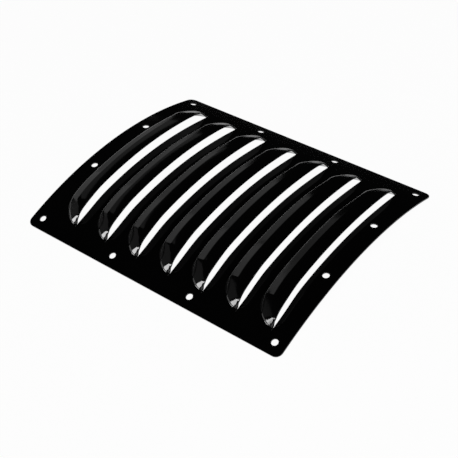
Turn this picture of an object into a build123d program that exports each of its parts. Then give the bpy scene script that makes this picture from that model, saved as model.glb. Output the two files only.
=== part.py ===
from build123d import *
from math import acos, cos, degrees, radians, sin, sqrt, tan
import os

os.makedirs("parts", exist_ok=True)

# A car bonnet vent: one rectangular metal sheet, bent to a shallow arch across its width and
# pressed with a row of louvres that run along the arch. Each louvre is sheared open along its
# +X side. X runs along the row of louvres, Y along each louvre, Z up through the crown of the
# arch. The sheet rests on its two long edges at Z = 0.

# sheet
sheet_thickness = 1.2
arch_radius = 320.0
corner_radius = 6.0
edge_margin = 10.0

# fixing holes: one row along every edge, corner holes shared
hole_row_spacing = 201.0
holes_per_side = 4
hole_diameter = 5.5

# louvres, and the flat land left beside and between them
louvre_count = 7
louvre_width = 20.4
land_width = 12.9
start_land = 8.4
end_land = 18.5
louvre_end_gap = 11.9

# section of one louvre, its roundings made of flats that touch them
louvre_height = 9.6
crown_radius = 66.0
wall_angle = 74.0
shoulder_radius = 3.0
root_radius = 2.6
flats_per_rounding = 2

# sizes that follow from the ones above
louvre_pitch = louvre_width + land_width
panel_length = start_land + louvre_count * louvre_pitch + end_land
hole_column_spacing = panel_length - 2 * edge_margin
developed_width = hole_row_spacing + 2 * edge_margin
inner_radius = arch_radius - sheet_thickness
half_angle = degrees(developed_width / 2 / arch_radius)
centre_z = -inner_radius * cos(radians(half_angle))
crown_z = centre_z + arch_radius
louvre_half_length = hole_row_spacing / 2 - louvre_end_gap
end_angle = degrees((louvre_half_length - louvre_width) / arch_radius)
reach = 4 * sheet_thickness
arch_axis = Axis((0, 0, centre_z), (1, 0, 0))
first_slit = -panel_length / 2 + start_land + louvre_pitch
slit_xs = [first_slit + louvre_pitch * index for index in range(louvre_count)]


def on_arch(radius, angle):
    # the (Y, Z) point of the arch at this radius and angle from the crown
    return (radius * sin(radians(angle)), centre_z + radius * cos(radians(angle)))


def radial_plane(angle):
    # plane through the arch's axis: local x along the row, local y outward
    turn = radians(angle)
    return Plane(origin=(0, 0, centre_z), x_dir=(1, 0, 0), z_dir=(0, -cos(turn), sin(turn)))


def rounding(centre, radius, start, end):
    # corners of the flats that touch a rounding between two slopes; a negative radius lies
    # under its centre
    step = (end - start) / (flats_per_rounding + 1)
    spoke = radius / cos(step / 2)
    slopes = [start + step * (index + 0.5) for index in range(flats_per_rounding + 1)]
    return [(centre[0] - spoke * sin(slope), centre[1] + spoke * cos(slope)) for slope in slopes]


def louvre_section(plane, skin):
    # half section of a louvre: flared root, steep wall, rounded shoulder, flat crown; with a
    # skin it is the hollow that lies that much further in
    wall = radians(wall_angle)
    lip_y = arch_radius + louvre_height
    floor_y = arch_radius - reach
    inset = crown_radius - shoulder_radius
    crown_drop = (crown_radius - louvre_height) * cos(wall)
    tilt = wall - acos((louvre_width * sin(wall) - shoulder_radius + crown_drop) / inset)
    shoulder = (-inset * sin(tilt), lip_y - crown_radius + inset * cos(tilt))
    root = (-louvre_width - root_radius * tan(wall / 2), arch_radius + root_radius)
    crown_spoke = crown_radius / cos(tilt / 4)
    ridge = tilt * 3 / 4
    corners = rounding(root, -root_radius, 0, wall)
    toe_x = corners[0][0] - reach / tan(wall / (flats_per_rounding + 1))
    corners += rounding(shoulder, shoulder_radius, wall, tilt)
    corners += [(-crown_spoke * sin(ridge), lip_y - crown_radius + crown_spoke * cos(ridge))]
    with BuildSketch(plane) as section:
        with BuildLine():
            Polyline(
                (toe_x, floor_y),
                *corners,
                (0, lip_y),
                (reach, lip_y),
                (reach, floor_y),
                (toe_x, floor_y),
            )
        make_face()
        if skin:
            offset(amount=-skin, kind=Kind.INTERSECTION)
        with Locations((0, arch_radius)):
            Rectangle(
                2 * louvre_pitch,
                2 * louvre_height + 2 * reach,
                align=(Align.MAX, Align.CENTER),
                mode=Mode.INTERSECT,
            )
    return section.sketch


def louvre_form(skin):
    # a long form: the section carried round the arch, with a turned end each way
    section = louvre_section(radial_plane(end_angle), skin)
    turn = radians(end_angle)
    end_axis = Axis((0, 0, centre_z), (0, sin(turn), cos(turn)))
    with BuildPart() as middle:
        revolve(section, axis=arch_axis, revolution_arc=2 * end_angle)
        mirror(about=Plane.YZ)
    with BuildPart() as end:
        revolve(section, axis=end_axis, revolution_arc=-180)
    with BuildPart() as form:
        add(middle.part)
        add(end.part)
        add(mirror(end.part, about=Plane.XZ, mode=Mode.PRIVATE))
    return form.part


def sheet_section(x):
    # the plain sheet's section across the arch
    with BuildSketch(Plane.YZ.offset(x)) as section:
        with BuildLine():
            outer = ThreePointArc(
                on_arch(arch_radius, -half_angle),
                (0, crown_z),
                on_arch(arch_radius, half_angle),
            )
            inner = ThreePointArc(
                on_arch(inner_radius, -half_angle),
                (0, crown_z - sheet_thickness),
                on_arch(inner_radius, half_angle),
            )
            Line(outer @ 0, inner @ 0)
            Line(outer @ 1, inner @ 1)
        make_face()
    return section.sketch


# the outer form of a louvre and the hollow under its skin
outer_form = louvre_form(0)
hollow_form = louvre_form(sheet_thickness)

# one pitch of the sheet with its louvre, the slit at X = 0
with BuildPart() as louvre:
    extrude(sheet_section(-louvre_pitch), amount=2 * louvre_pitch, dir=(1, 0, 0))
    add(outer_form)
    with Locations((0, 0, centre_z)):
        Cylinder(inner_radius, 3 * louvre_pitch, rotation=(0, 90, 0), mode=Mode.SUBTRACT)
    add(hollow_form, mode=Mode.SUBTRACT)
    split(bisect_by=Plane.YZ, keep=Keep.BOTTOM)

with BuildPart() as panel:
    # plain land at both ends of the row, and the louvres between
    extrude(sheet_section(-panel_length / 2), amount=start_land, dir=(1, 0, 0))
    extrude(sheet_section(slit_xs[-1]), amount=end_land, dir=(1, 0, 0))
    # round the sheet's four corners
    corners = panel.edges().filter_by(GeomType.LINE).filter_by(
        lambda edge: abs((edge @ 0.5).X) > panel_length / 2 - 0.01 and edge.length < 2 * sheet_thickness
    )
    fillet(corners, radius=corner_radius)
    with Locations(*[(x, 0, 0) for x in slit_xs]):
        add(louvre.part)
    # fixing holes, pierced straight down
    row_angle = degrees(hole_row_spacing / 2 / arch_radius)
    for index in range(holes_per_side):
        place = index / (holes_per_side - 1) * 2 - 1
        x = hole_column_spacing / 2 * place
        y = on_arch(arch_radius, row_angle * place)[0]
        row_y = on_arch(arch_radius, row_angle)[0]
        spots = [(x, row_y), (x, -row_y)]
        if abs(place) < 1:
            spots += [(hole_column_spacing / 2, y), (-hole_column_spacing / 2, y)]
        with Locations(*spots):
            Hole(hole_diameter / 2)
panel.part.label = "louvre_panel"
export_step(panel.part, "parts/louvre_panel.step")
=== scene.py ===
import math

import bpy
import numpy as np
from mathutils import Euler, Matrix, Vector
from mathutils.geometry import delaunay_2d_cdt


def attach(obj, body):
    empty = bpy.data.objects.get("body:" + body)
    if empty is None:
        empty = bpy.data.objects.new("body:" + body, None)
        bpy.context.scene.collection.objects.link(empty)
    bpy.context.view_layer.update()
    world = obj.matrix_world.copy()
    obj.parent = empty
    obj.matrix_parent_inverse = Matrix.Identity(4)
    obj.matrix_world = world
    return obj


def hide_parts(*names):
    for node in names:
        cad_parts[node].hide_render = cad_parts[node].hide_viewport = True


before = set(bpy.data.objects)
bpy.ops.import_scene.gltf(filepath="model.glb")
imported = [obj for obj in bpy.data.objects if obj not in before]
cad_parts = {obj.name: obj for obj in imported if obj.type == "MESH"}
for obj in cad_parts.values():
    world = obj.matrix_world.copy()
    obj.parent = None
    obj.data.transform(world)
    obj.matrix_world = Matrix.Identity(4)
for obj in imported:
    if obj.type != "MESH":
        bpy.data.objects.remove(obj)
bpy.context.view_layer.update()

# The panel is made as a flat sheet and bent to the arch. On the flat sheet u runs along the row of
# louvres, s runs along each louvre and h is the height over the outer face. Sizes are in mm.
THICKNESS = 1.2
ARCH_RADIUS = 320.0
LENGTH = 260.0
CORNER_RADIUS = 6.0
MARGIN = 10.0
ROW_SPACING = 201.0
HOLE_RADIUS = 2.75
HOLE_PLACES = (-1, -1 / 3, 1 / 3, 1)

EDGE_RADIUS = 0.2
SHEAR_GAP = 0.06

# Louvres: where each slit lies along the row, and the lip's height over the sheet
SLITS = (-89.4, -55.4, -21.7, 11.9, 45.0, 78.1, 111.0)
HEIGHT = 9.3
ROOT_RADIUS = 2.6
BEND_RADIUS = 6.0

# A louvre's section stays straight between these two places, and turns round an end beyond them
NEAR_TURN = -71.5
FAR_TURN = 58.0

# Sections of a louvre: a steep wall, a rounded shoulder, a sloped roof and a nearly level crown
SIDE = dict(width=20.4, wall=74.0, crown=10.5, crown_slope=6.0, roof_slope=17.0, shoulder=3.0)
FAR_SIDE = dict(width=18.2, wall=74.0, crown=10.5, crown_slope=5.0, roof_slope=8.5, shoulder=3.0)
NEAR_END = dict(width=20.8, wall=62.0, crown=8.0, crown_slope=5.0, roof_slope=9.0, shoulder=3.5)
FAR_END = dict(width=28.6, wall=37.0, crown=12.0, crown_slope=5.0, roof_slope=8.5, shoulder=2.5)

# Where the side's section changes to the far one, and how much the far end's corner is cut back
SIDE_CHANGE = (22, 56)
FAR_TRIM = 0.09

# Parts of the height that are lost: for every 90 mm towards the far end, and at the near end
FALL = 0.03
FALL_LENGTH = 90
NEAR_DROP = 0.06
NEAR_DROP_SPAN = (-50, -80)

# How far the slit's line bows: back towards the far end, most in its last part, and forward at
# the near end
FAR_BOW = 1.1
LAST_BOW = 1.5
LAST_BOW_POWER = 8
FAR_BOW_SPAN = (-60, 90)
NEAR_BOW = 1.5
NEAR_BOW_SPAN = (-52, -84)

# The near end's flats, from the back round to the slit: the two ends of the foot line, each as
# distance back from the slit and place along it, then the slope in degrees and the softness
FLATS = (
    ((12.6, -88.5), (19.0, -82.5), 34.0, 1.3),
    ((8.5, -91.1), (12.6, -88.5), 36.5, 0.3),
    ((1.9, -92.9), (8.5, -91.1), 40.4, 0.08),
    ((1.2, -91.9), (1.9, -92.9), 72.0, 0.08),
)
# a flat's height where it doesn't reach
ABOVE_ALL = 99.0

# Fineness of the mesh, and how near two of its points may lie
STEPS = dict(root=8, wall=8, shoulder=10, roof=4, bend=6, crown=6)
END_STATIONS = 33
SIDE_STATIONS = 39
HOLE_POINTS = 36
CORNER_POINTS = 11
EDGE_STEPS = 60
CUT_END_STEPS = 6
RIM_BENDS = np.radians([30, 60, 90])
LAND_COLUMNS = 64
LAND_ROWS = 70
LAND_CLEARANCE = 1.5
POINT_CLEARANCE = 1.0
PLACE_DECIMALS = 5
PLACE_TOLERANCE = 1e-6
MM_PER_M = 1000

HALF_WIDTH = ROW_SPACING / 2 + MARGIN
CENTRE_Z = -(ARCH_RADIUS - THICKNESS) * math.cos(HALF_WIDTH / ARCH_RADIUS)
CUT_HALF_WIDTH = EDGE_RADIUS + SHEAR_GAP / 2


def bent(u, s, h):
    """Places on the flat sheet, bent to the arch."""
    angle = s / ARCH_RADIUS
    radius = ARCH_RADIUS + h
    return np.stack([u + 0 * angle, radius * np.sin(angle), CENTRE_Z + radius * np.cos(angle)], axis=-1)


def outward(s):
    """The sheet's outward direction at s."""
    angle = np.asarray(s) / ARCH_RADIUS
    return np.stack([np.zeros_like(angle), np.sin(angle), np.cos(angle)], axis=-1)


def unit(vectors):
    return vectors / np.linalg.norm(vectors, axis=-1, keepdims=True)


def dot(a, b):
    return np.sum(a * b, axis=-1, keepdims=True)


def ramp(value, span):
    """0 up to the span's first end, 1 past its second, and straight between them."""
    return np.clip((np.asarray(value) - span[0]) / (span[1] - span[0]), 0, 1)


def smooth(t):
    return t * t * (3 - 2 * t)


def rounding(hub, radius, start, end, steps):
    """Points round a hub from one slope to another. A negative radius lies under its hub."""
    slopes = np.linspace(start, end, steps + 1)
    return [(hub[0] + radius * math.sin(slope), hub[1] + radius * math.cos(slope)) for slope in slopes]


def straight(first, last, steps):
    """Points from the first to the last, both included."""
    parts = np.linspace(0, 1, steps + 1)
    return [(first[0] + (last[0] - first[0]) * f, first[1] + (last[1] - first[1]) * f) for f in parts]


def louvre_profile(width, wall, crown, crown_slope, roof_slope, shoulder):
    """Section of a louvre from its flared foot to the lip: distance from the slit and height."""
    wall, crown_slope, roof_slope = (math.radians(v) for v in (wall, crown_slope, roof_slope))
    root_hub = (width + ROOT_RADIUS * math.tan(wall / 2), ROOT_RADIUS)
    crown_radius = crown / math.sin(crown_slope)
    crown_hub = (0, HEIGHT - crown_radius)
    # the bend from the crown down to the roof
    bend_hub = (
        (crown_radius - BEND_RADIUS) * math.sin(crown_slope),
        crown_hub[1] + (crown_radius - BEND_RADIUS) * math.cos(crown_slope),
    )
    bend = rounding(bend_hub, BEND_RADIUS, roof_slope, crown_slope, STEPS["bend"])
    roof_end = bend[0]
    # the corner where the roof's line meets the wall's line, and where the shoulder touches both
    roof_rise, wall_rise = math.tan(roof_slope), math.tan(wall)
    corner_x = (roof_end[1] + roof_rise * roof_end[0] - wall_rise * width) / (roof_rise - wall_rise)
    corner_y = wall_rise * (width - corner_x)
    touch = shoulder * math.tan((wall - roof_slope) / 2)
    wall_top = (corner_x + touch * math.cos(wall), corner_y - touch * math.sin(wall))
    roof_start = (corner_x - touch * math.cos(roof_slope), corner_y + touch * math.sin(roof_slope))
    shoulder_hub = (wall_top[0] - shoulder * math.sin(wall), wall_top[1] - shoulder * math.cos(wall))
    points = rounding(root_hub, -ROOT_RADIUS, 0, wall, STEPS["root"])
    points += straight(points[-1], wall_top, STEPS["wall"])[1:]
    points += rounding(shoulder_hub, shoulder, wall, roof_slope, STEPS["shoulder"])[1:]
    points += straight(roof_start, roof_end, STEPS["roof"])[1:]
    points += bend[1:]
    points += rounding(crown_hub, crown_radius, crown_slope, 0, STEPS["crown"])[1:]
    return np.array(points)


def bow(s):
    """How far the slit's line lies back from its straight place."""
    far = ramp(s, FAR_BOW_SPAN)
    return FAR_BOW * far + LAST_BOW * far**LAST_BOW_POWER - NEAR_BOW * smooth(ramp(s, NEAR_BOW_SPAN))


def flattened(back, along, high):
    """Heights cut down to the flats of the near end."""
    for first, second, slope, softness in FLATS:
        chord = np.subtract(second, first)
        uphill = np.array([-chord[1], chord[0]]) / np.hypot(*chord)
        distance = (-back - first[0]) * uphill[0] + (along - first[1]) * uphill[1]
        flat = np.where(along < 0, distance * math.tan(math.radians(slope)), ABOVE_ALL)
        lower = (high + flat - np.sqrt((high - flat) ** 2 + softness**2)) / 2
        high = np.clip(lower, 0.0, high)
    return high


def louvre_shape():
    """A louvre on the flat sheet: back from the slit, along it, height, and where each station turns."""
    side, far_side, near_end, far_end = (
        louvre_profile(**section) for section in (SIDE, FAR_SIDE, NEAR_END, FAR_END)
    )
    # each station has its place along the slit and the direction in which its section points
    turn = np.linspace(0, math.pi / 2, END_STATIONS)
    middle = np.linspace(NEAR_TURN, FAR_TURN, SIDE_STATIONS + 2)[1:-1]
    stations = [(NEAR_TURN, -math.sin(a), -math.cos(a)) for a in turn]
    stations += [(s, -1.0, 0.0) for s in middle]
    stations += [(FAR_TURN, -math.sin(a), math.cos(a)) for a in turn[::-1]]
    start, backward, lengthways = (np.array(column)[:, None] for column in zip(*stations))
    end = np.where(lengthways[:, :, None] < 0, near_end, far_end)
    section = side + (far_side - side) * smooth(ramp(start, SIDE_CHANGE))[:, :, None]
    section = section + (end - section) * lengthways[:, :, None] ** 2
    trim = np.where(lengthways > 0, 1 - FAR_TRIM * (2 * backward * lengthways) ** 2, 1.0)
    reach = section[:, :, 0] * trim
    along = start + lengthways * reach
    back = backward * reach
    drop = NEAR_DROP * smooth(ramp(along, NEAR_DROP_SPAN))
    high = flattened(back, along, section[:, :, 1] * (1 - FALL * along / FALL_LENGTH) * (1 - drop))
    high[:, 0] = 0
    return back, along, high, start[:, 0]


def grid_normals(xyz, along):
    """Normals of a grid of points from the differences between neighbours."""
    across, down = np.gradient(xyz, axis=1), np.gradient(xyz, axis=0)
    # an end's stations share one point at the lip, so they take the row beside it
    down[:END_STATIONS - 1, -1] = down[:END_STATIONS - 1, -2]
    down[-END_STATIONS + 1:, -1] = down[-END_STATIONS + 1:, -2]
    normals = unit(np.cross(across, down))
    normals = np.where(dot(normals, outward(along)) < 0, -normals, normals)
    normals[:END_STATIONS, -1] = normals[END_STATIONS, -1]
    normals[-END_STATIONS:, -1] = normals[-END_STATIONS - 1, -1]
    return normals


def circle(centre, radius, angles):
    return np.stack([centre[0] + radius * np.cos(angles), centre[1] + radius * np.sin(angles)], axis=-1)


def inside(points, polygon):
    """Which points lie in the polygon, by the crossings to their right."""
    x, y = points[:, 0], points[:, 1]
    result = np.zeros(len(points), bool)
    for (x1, y1), (x2, y2) in zip(polygon, np.roll(polygon, -1, axis=0)):
        if y1 != y2:
            crossing = (x2 - x1) * (y - y1) / (y2 - y1) + x1
            result ^= ((y1 > y) != (y2 > y)) & (x < crossing)
    return result


class Skin:
    """The sheet's outer face: points with normals, triangles, the cuts and the outlines of holes."""

    def __init__(self):
        self.points, self.normals, self.faces = [], [], []
        self.flat_index, self.flat_places = {}, []
        self.cuts, self.holes = [], []

    def add(self, point, normal):
        self.points.append(point)
        self.normals.append(normal)
        return len(self.points) - 1

    def flat(self, u, s):
        """The point of the plain sheet at this place, made once."""
        key = (round(float(u), PLACE_DECIMALS), round(float(s), PLACE_DECIMALS))
        if key not in self.flat_index:
            u, s = np.float64(u), np.float64(s)
            self.flat_index[key] = self.add(bent(u, s, 0.0), outward(s))
            self.flat_places.append((*key, self.flat_index[key]))
        return self.flat_index[key]


def add_louvre_grid(skin, slit, shape):
    """The louvre's outer face. Returns the points of its foot and its lip, and the lip's places."""
    back, along, high, start = shape
    u = slit - CUT_HALF_WIDTH - bow(along) + back
    xyz = bent(u, along, high)
    normals = grid_normals(xyz, along)
    rows, last = along.shape[0], along.shape[1] - 1
    grid = np.zeros(along.shape, int)
    hubs = {}
    for j in range(rows):
        turned = j < END_STATIONS or j >= rows - END_STATIONS
        grid[j, 0] = skin.flat(u[j, 0], along[j, 0])
        for i in range(1, last):
            grid[j, i] = skin.add(xyz[j, i], normals[j, i])
        # every station of a turned end shares one point at the lip
        if turned and start[j] in hubs:
            grid[j, last] = hubs[start[j]]
        else:
            grid[j, last] = skin.add(xyz[j, last], normals[j, last])
            if turned:
                hubs[start[j]] = grid[j, last]
    for j in range(rows - 1):
        for i in range(last):
            a, b, c, d = grid[j, i], grid[j + 1, i], grid[j + 1, i + 1], grid[j, i + 1]
            skin.faces.append((a, b, c))
            if c != d:
                skin.faces.append((a, c, d))
    middle = slice(END_STATIONS, rows - END_STATIONS)
    lip = [*grid[0, :], *grid[middle, -1], *grid[-1, ::-1]]
    lip_places = [*along[0, :], *along[middle, -1], *along[-1, ::-1]]
    return list(grid[:, 0]), lip, lip_places


def add_louvre(skin, slit, shape):
    """One louvre and its cut: the lip, one closed end, the land's side and the other closed end."""
    foot, lip, lip_places = add_louvre_grid(skin, slit, shape)
    ends = []
    for s, start in ((lip_places[-1], math.pi), (lip_places[0], 0.0)):
        angles = start - math.pi * np.linspace(0, 1, CUT_END_STEPS + 1)[1:-1]
        ends.append([skin.flat(*p) for p in circle((slit - bow(s), s), CUT_HALF_WIDTH, angles)])
    land = [skin.flat(slit + CUT_HALF_WIDTH - bow(s), s) for s in lip_places[::-1]]
    half_turn = np.linspace(0, math.pi, CUT_END_STEPS + 1)[1:-1]
    facing = [(1.0, 0.0)] * len(lip)
    facing += [(-math.cos(a), -math.sin(a)) for a in half_turn[::-1]]
    facing += [(-1.0, 0.0)] * len(land)
    facing += [(-math.cos(a), math.sin(a)) for a in half_turn]
    skin.cuts.append((lip + ends[0] + land + ends[1], facing))
    skin.holes.append(foot + ends[0] + land + ends[1])


def add_fixing_holes(skin):
    column, row = LENGTH / 2 - MARGIN, ROW_SPACING / 2
    spots = []
    for f in HOLE_PLACES:
        spots += [(column * f, row), (column * f, -row)]
        if abs(f) < 1:
            spots += [(column, row * f), (-column, row * f)]
    angles = np.linspace(0, 2 * math.pi, HOLE_POINTS, endpoint=False)
    facing = [(-math.cos(a), -math.sin(a)) for a in angles]
    for spot in spots:
        ids = [skin.flat(*p) for p in circle(spot, HOLE_RADIUS + EDGE_RADIUS, angles)]
        skin.cuts.append((ids, facing))
        skin.holes.append(ids)


def add_outline(skin):
    """The sheet's outline with its rounded corners, each point with the direction it faces."""
    x, y = LENGTH / 2 - CORNER_RADIUS, HALF_WIDTH - CORNER_RADIUS
    radius = CORNER_RADIUS - EDGE_RADIUS
    corners = []
    for centre_x, centre_y, start in ((x, y, 0), (-x, y, 90), (-x, -y, 180), (x, -y, 270)):
        for a in np.radians(np.linspace(start, start + 90, CORNER_POINTS)):
            facing = (math.cos(a), math.sin(a))
            corners.append(((centre_x + radius * facing[0], centre_y + radius * facing[1]), facing))
    outline = []
    for k, (here, facing) in enumerate(corners):
        outline.append((here, facing))
        if k % CORNER_POINTS == CORNER_POINTS - 1:
            after = corners[(k + 1) % len(corners)][0]
            outline += [(p, facing) for p in straight(here, after, EDGE_STEPS)[1:-1]]
    ids = [skin.flat(*p) for p, _ in outline]
    skin.cuts.append((ids, [facing for _, facing in outline]))
    return ids


def add_land(skin, outer):
    """The plain sheet round the louvres and holes, triangulated between its outlines."""
    where = {index: (u, s) for u, s, index in skin.flat_places}
    rims = [np.array([where[index] for index in hole]) for hole in skin.holes]
    rim_points = np.array([(u, s) for u, s, _ in skin.flat_places])
    # loose points in staggered rows, clear of every outline
    columns = np.linspace(-LENGTH / 2, LENGTH / 2, LAND_COLUMNS + 2)[1:-1]
    rows = np.linspace(-HALF_WIDTH, HALF_WIDTH, LAND_ROWS + 2)[1:-1]
    free_u, free_s = np.meshgrid(columns, rows, indexing="ij")
    free_u[:, ::2] += (columns[1] - columns[0]) / 2
    free = np.stack([free_u.ravel(), free_s.ravel()], axis=-1)
    limit = (LENGTH / 2 - LAND_CLEARANCE, HALF_WIDTH - LAND_CLEARANCE)
    free = free[np.all(np.abs(free) < limit, axis=1)]
    for rim in rims:
        free = free[~inside(free, rim)]
    for u, s in free:
        if np.min(np.sum((rim_points - (u, s)) ** 2, axis=1)) > POINT_CLEARANCE**2:
            skin.flat(u, s)
    order = {index: k for k, (_, _, index) in enumerate(skin.flat_places)}
    edges = []
    for loop in skin.holes + [outer]:
        edges += [(order[a], order[b]) for a, b in zip(loop, loop[1:] + loop[:1]) if a != b]
    places = [Vector((u, s)) for u, s, _ in skin.flat_places]
    verts, _, triangles, source, _, _ = delaunay_2d_cdt(places, edges, [], 0, PLACE_TOLERANCE)
    centres = np.array([[sum(verts[v][k] for v in t) / 3 for k in (0, 1)] for t in triangles])
    used = inside(centres, np.array([where[index] for index in outer]))
    for rim in rims:
        used &= ~inside(centres, rim)
    for triangle, use in zip(triangles, used):
        if use:
            skin.faces.append(tuple(skin.flat_places[source[v][0]][2] for v in triangle))


def face_outward(points, normals, triangles):
    """The triangles, turned to face the same way as the normals of their points."""
    a, b, c = (points[triangles[:, k]] for k in range(3))
    wrong = np.sum(np.cross(b - a, c - a) * normals[triangles].sum(axis=1), axis=1) < 0
    triangles[wrong] = triangles[wrong][:, ::-1]
    return triangles


def cut_directions(points, normals, facing):
    """The direction out of the metal at each point of a cut, square to the sheet's normal."""
    angle = np.arctan2(points[:, 1], points[:, 2] - CENTRE_Z)
    along = np.stack([np.zeros(len(points)), np.cos(angle), -np.sin(angle)], axis=-1)
    direction = facing[:, :1] * np.array([1.0, 0, 0]) + facing[:, 1:] * along
    return unit(direction - dot(direction, normals) * normals)


def thicken(skin):
    """Both faces of the sheet and the rounded rims of every cut, in metres."""
    points, normals = np.array(skin.points), unit(np.array(skin.normals))
    outer = face_outward(points, normals, np.array(skin.faces))
    count = len(points)
    total = 2 * count
    all_points = [points, points - THICKNESS * normals]
    all_normals = [normals, -normals]
    all_faces = [outer, outer[:, ::-1] + count]
    for ids, facing in skin.cuts:
        keep = [k for k in range(len(ids)) if ids[k] != ids[k - 1]]
        ids = np.array(ids)[keep]
        p, n = points[ids], normals[ids]
        side = cut_directions(p, n, np.array(facing)[keep])
        rows = [ids]
        for depth, up, bends in ((EDGE_RADIUS, 1, RIM_BENDS), (THICKNESS - EDGE_RADIUS, -1, RIM_BENDS[::-1])):
            for bend in bends:
                normal = up * math.cos(bend) * n + math.sin(bend) * side
                all_points.append(p - depth * n + EDGE_RADIUS * normal)
                all_normals.append(normal)
                rows.append(np.arange(total, total + len(ids)))
                total += len(ids)
        rows.append(ids + count)
        for top, low in zip(rows[:-1], rows[1:]):
            next_top, next_low = np.roll(top, -1), np.roll(low, -1)
            all_faces.append(np.stack([top, low, next_low], axis=1))
            all_faces.append(np.stack([top, next_low, next_top], axis=1))
    points, normals = np.concatenate(all_points), unit(np.concatenate(all_normals))
    return points / MM_PER_M, normals, face_outward(points, normals, np.concatenate(all_faces))


def link_object(name, data):
    obj = bpy.data.objects.new(name, data)
    bpy.context.scene.collection.objects.link(obj)
    return obj


def vent_panel():
    skin = Skin()
    shape = louvre_shape()
    for slit in SLITS:
        add_louvre(skin, slit, shape)
    add_fixing_holes(skin)
    outer = add_outline(skin)
    add_land(skin, outer)
    points, normals, triangles = thicken(skin)
    mesh = bpy.data.meshes.new("vent_panel")
    mesh.from_pydata(points.tolist(), [], triangles.tolist())
    mesh.validate()
    mesh.shade_smooth()
    mesh.normals_split_custom_set_from_vertices(normals.tolist())
    return link_object("vent_panel", mesh)


def new_material(name):
    material = bpy.data.materials.new(name)
    material.use_nodes = True
    material.node_tree.nodes.clear()
    return material, material.node_tree


def add_node(tree, kind, **values):
    """A new node with these values on its inputs, whose names have _ for a space."""
    node = tree.nodes.new("ShaderNode" + kind)
    for name, value in values.items():
        node.inputs[name.replace("_", " ")].default_value = value
    return node


def gloss_black():
    """A gloss coating with faint orange peel and slightly uneven gloss."""
    material, tree = new_material("gloss_black_coating")
    link = tree.links.new
    out = add_node(tree, "OutputMaterial")
    shader = add_node(tree, "BsdfPrincipled", Base_Color=(0.002, 0.002, 0.0021, 1), IOR=1.5)
    where = add_node(tree, "TexCoord")
    peel = add_node(tree, "TexNoise", Scale=420, Detail=3)
    bump = add_node(tree, "Bump", Strength=0.03, Distance=0.0004)
    wear = add_node(tree, "TexNoise", Scale=35, Detail=5)
    roughness = add_node(tree, "MapRange", To_Min=0.06, To_Max=0.12)
    link(where.outputs["Object"], peel.inputs["Vector"])
    link(where.outputs["Object"], wear.inputs["Vector"])
    link(peel.outputs["Fac"], bump.inputs["Height"])
    link(bump.outputs["Normal"], shader.inputs["Normal"])
    link(wear.outputs["Fac"], roughness.inputs["Value"])
    link(roughness.outputs["Result"], shader.inputs["Roughness"])
    link(shader.outputs["BSDF"], out.inputs["Surface"])
    return material


def background_rays(tree):
    """1 for camera, glossy and transmission rays, else 0."""
    path = add_node(tree, "LightPath")
    camera_or_glossy = add_node(tree, "Math")
    any_of_them = add_node(tree, "Math")
    any_of_them.use_clamp = True
    tree.links.new(path.outputs["Is Camera Ray"], camera_or_glossy.inputs[0])
    tree.links.new(path.outputs["Is Glossy Ray"], camera_or_glossy.inputs[1])
    tree.links.new(camera_or_glossy.outputs[0], any_of_them.inputs[0])
    tree.links.new(path.outputs["Is Transmission Ray"], any_of_them.inputs[1])
    return any_of_them.outputs[0]


def white_floor():
    """A floor that is white where it is seen or reflected and keeps a faint shadow."""
    material, tree = new_material("white_floor")
    link = tree.links.new
    out = add_node(tree, "OutputMaterial")
    plain = add_node(tree, "BsdfDiffuse", Color=(0.8, 0.8, 0.8, 1))
    shade = add_node(tree, "BsdfDiffuse", Color=(0.1, 0.1, 0.1, 1))
    glow = add_node(tree, "Emission", Strength=0.96)
    seen = add_node(tree, "AddShader")
    mix = add_node(tree, "MixShader")
    link(shade.outputs[0], seen.inputs[0])
    link(glow.outputs[0], seen.inputs[1])
    link(background_rays(tree), mix.inputs[0])
    link(plain.outputs[0], mix.inputs[1])
    link(seen.outputs[0], mix.inputs[2])
    link(mix.outputs[0], out.inputs["Surface"])
    return material


def add_floor(half_size=6.0):
    corners = [(x * half_size, y * half_size, 0) for x, y in ((-1, -1), (1, -1), (1, 1), (-1, 1))]
    mesh = bpy.data.meshes.new("floor")
    mesh.from_pydata(corners, [], [(0, 1, 2, 3)])
    mesh.materials.append(white_floor())
    link_object("floor", mesh)


def add_world():
    """A dark studio, white only where the camera looks past the floor."""
    world = bpy.data.worlds.new("studio")
    bpy.context.scene.world = world
    world.use_nodes = True
    tree = world.node_tree
    tree.nodes.clear()
    out = add_node(tree, "OutputWorld")
    background = add_node(tree, "Background", Color=(1, 1, 1, 1))
    path = add_node(tree, "LightPath")
    strength = add_node(tree, "MapRange", To_Min=0.0064, To_Max=0.97)
    tree.links.new(path.outputs["Is Camera Ray"], strength.inputs["Value"])
    tree.links.new(strength.outputs["Result"], background.inputs["Strength"])
    tree.links.new(background.outputs[0], out.inputs["Surface"])


def toward(azimuth, elevation):
    a, e = math.radians(azimuth), math.radians(elevation)
    return Vector((math.cos(e) * math.cos(a), math.cos(e) * math.sin(a), math.sin(e)))


def add_lamp(name, place, width, height, radiance, level=(0, 0, 1), target=(0, 0, 0.02)):
    """A rectangular lamp that faces its target. Its width lies square to the level direction."""
    data = bpy.data.lights.new(name, "AREA")
    data.shape = "RECTANGLE"
    data.size = width
    data.size_y = height
    data.energy = radiance * math.pi * width * height
    z = (Vector(place) - Vector(target)).normalized()
    x = Vector(level).cross(z).normalized()
    turned = Matrix((x, z.cross(x), z)).transposed().to_4x4()
    turned.translation = Vector(place)
    link_object(name, data).matrix_world = turned


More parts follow.
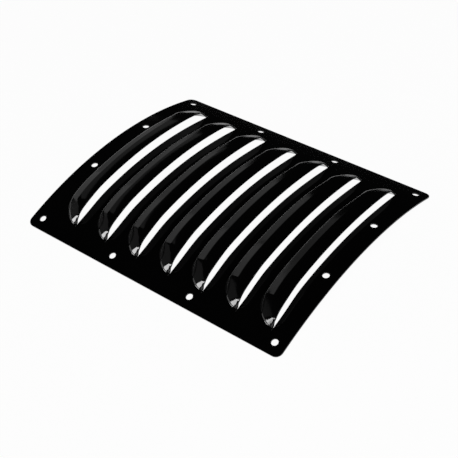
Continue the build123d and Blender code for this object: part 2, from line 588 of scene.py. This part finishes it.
def add_strip_lamp(name, first, last, depth, radiance, distance=5.0):
    """A distant lamp with one edge from the first direction to the last, each an azimuth and
    elevation in degrees. Its depth is in degrees below that edge, or above it if negative."""
    first, last = toward(*first), toward(*last)
    level = (last - first).normalized()
    middle = (first + last).normalized()
    down = level.cross(middle).normalized()
    down = -down if down.z * depth > 0 else down
    half_depth = math.radians(abs(depth) / 2)
    aim = middle * math.cos(half_depth) + down * math.sin(half_depth)
    width = 2 * distance * math.tan(first.angle(last) / 2)
    height = 2 * distance * math.tan(half_depth)
    add_lamp(name, aim * distance, width, height, radiance, level=down)


def add_lamps():
    # the dull band of light along the louvres, and the fainter one on the crown beside it
    add_strip_lamp("back_left", first=(150, 25.5), last=(172, 37.2), depth=34, radiance=0.42)
    add_strip_lamp("back_left_far", first=(133.5, 12.5), last=(150, 25.5), depth=30, radiance=0.27)
    add_strip_lamp("crown_glow", first=(136, 14.5), last=(176, 38.7), depth=-9, radiance=0.15)
    # the bright flats at the near ends
    add_lamp(
        "key_left",
        place=(-2.315, -1.94, 0.28),
        width=1.0,
        height=0.5,
        radiance=11.0,
        level=(-0.101, 0.252, 0.943),
        target=(0, -0.088, 0.013),
    )
    add_lamp("dim_left", 3.0 * toward(196, 8), width=0.9, height=0.7, radiance=0.1)
    add_lamp("right_fill", 1.4 * toward(-20, 55), width=1.2, height=1.2, radiance=1.0)


def add_camera(place=(0.411736, -0.467346, 0.536115), turn=(48.0841, 3.72054, 38.15067)):
    """The photo's camera: its place in metres and its turn round X, Y and Z in degrees."""
    data = bpy.data.cameras.new("camera")
    data.lens = 77.33
    data.sensor_width = 36
    data.clip_start = 0.01
    data.clip_end = 50
    camera = link_object("camera", data)
    camera.matrix_world = Matrix.LocRotScale(Vector(place), Euler(np.radians(turn)), None)
    bpy.context.scene.camera = camera


panel = vent_panel()
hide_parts("louvre_panel")
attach(panel, "root")

coating = gloss_black()
for data in (panel.data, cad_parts["louvre_panel"].data):
    data.materials.clear()
    data.materials.append(coating)

add_floor()
add_world()
add_lamps()
add_camera()
bpy.context.scene.view_settings.view_transform = "Standard"

bpy.context.view_layer.update()
